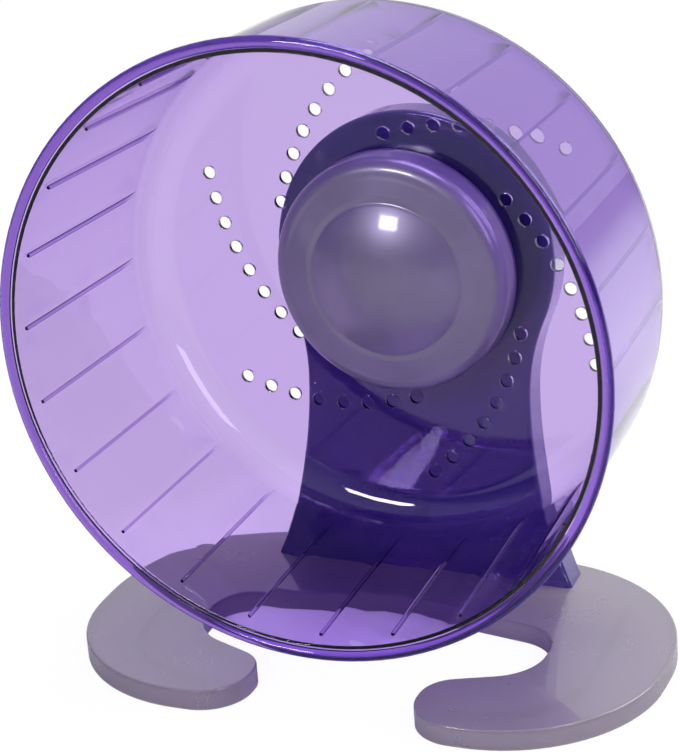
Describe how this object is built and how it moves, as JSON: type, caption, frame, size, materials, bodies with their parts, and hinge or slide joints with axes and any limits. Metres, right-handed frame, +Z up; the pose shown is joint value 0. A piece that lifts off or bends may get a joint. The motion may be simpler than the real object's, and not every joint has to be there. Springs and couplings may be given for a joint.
{
  "type": "rodent exercise wheel",
  "caption": "Free-standing exercise wheel: transparent drum with a vented disc and inside treads, turning on ball bearings on a leaning hollow column with a claw-shaped base.",
  "frame": {"origin": "on the floor, under the middle of the object's bounding box", "axes": "+Z up; the open front of the wheel faces -Y; the axle lies along Y and dips 2.15 degrees towards the back"},
  "size_m": [0.275, 0.1702, 0.3053],
  "materials": {
    "drum_plastic": "transparent violet, gloss",
    "smoke_plastic": "transparent smoke grey, gloss",
    "cap_plastic": "pearly smoke grey, gloss",
    "zinc_steel": "zinc plated",
    "bearing_steel": "ground and polished",
    "nylon": "natural nylon"
  },
  "bodies": {
    "stand": {"stand_base": "smoke_plastic", "base_screws": "zinc_steel", "column_shell": "smoke_plastic", "column_cover": "smoke_plastic", "column_screws": "zinc_steel", "axle_bolt": "zinc_steel", "axle_collar": "zinc_steel", "bearing_spacer": "zinc_steel", "axle_washer": "zinc_steel", "axle_nut": "zinc_steel", "front_bearing_inner_ring": "bearing_steel", "rear_bearing_inner_ring": "bearing_steel"},
    "drum": {"running_drum": "drum_plastic", "hub_cap": "cap_plastic", "front_bearing_outer_ring": "bearing_steel", "rear_bearing_outer_ring": "bearing_steel", "front_bearing_shields": "bearing_steel", "rear_bearing_shields": "bearing_steel"},
    "ball_sets": {"front_bearing_balls": "bearing_steel", "rear_bearing_balls": "bearing_steel", "front_bearing_cage": "nylon", "rear_bearing_cage": "nylon"}
  },
  "joints": [
    {"name": "drum_spin", "type": "hinge", "parent": "stand", "child": "drum", "pos_m": [0, 0.04636, 0.1634], "axis": [0, 0.9993, -0.0375], "continuous": true},
    {"name": "ball_orbit", "type": "hinge", "parent": "stand", "child": "ball_sets", "pos_m": [0, 0.04636, 0.1634], "axis": [0, 0.9993, -0.0375], "continuous": true}
  ],
  "couplings": [
    {"joint": "ball_orbit", "follows": "drum_spin", "ratio": 0.63233}
  ]
}
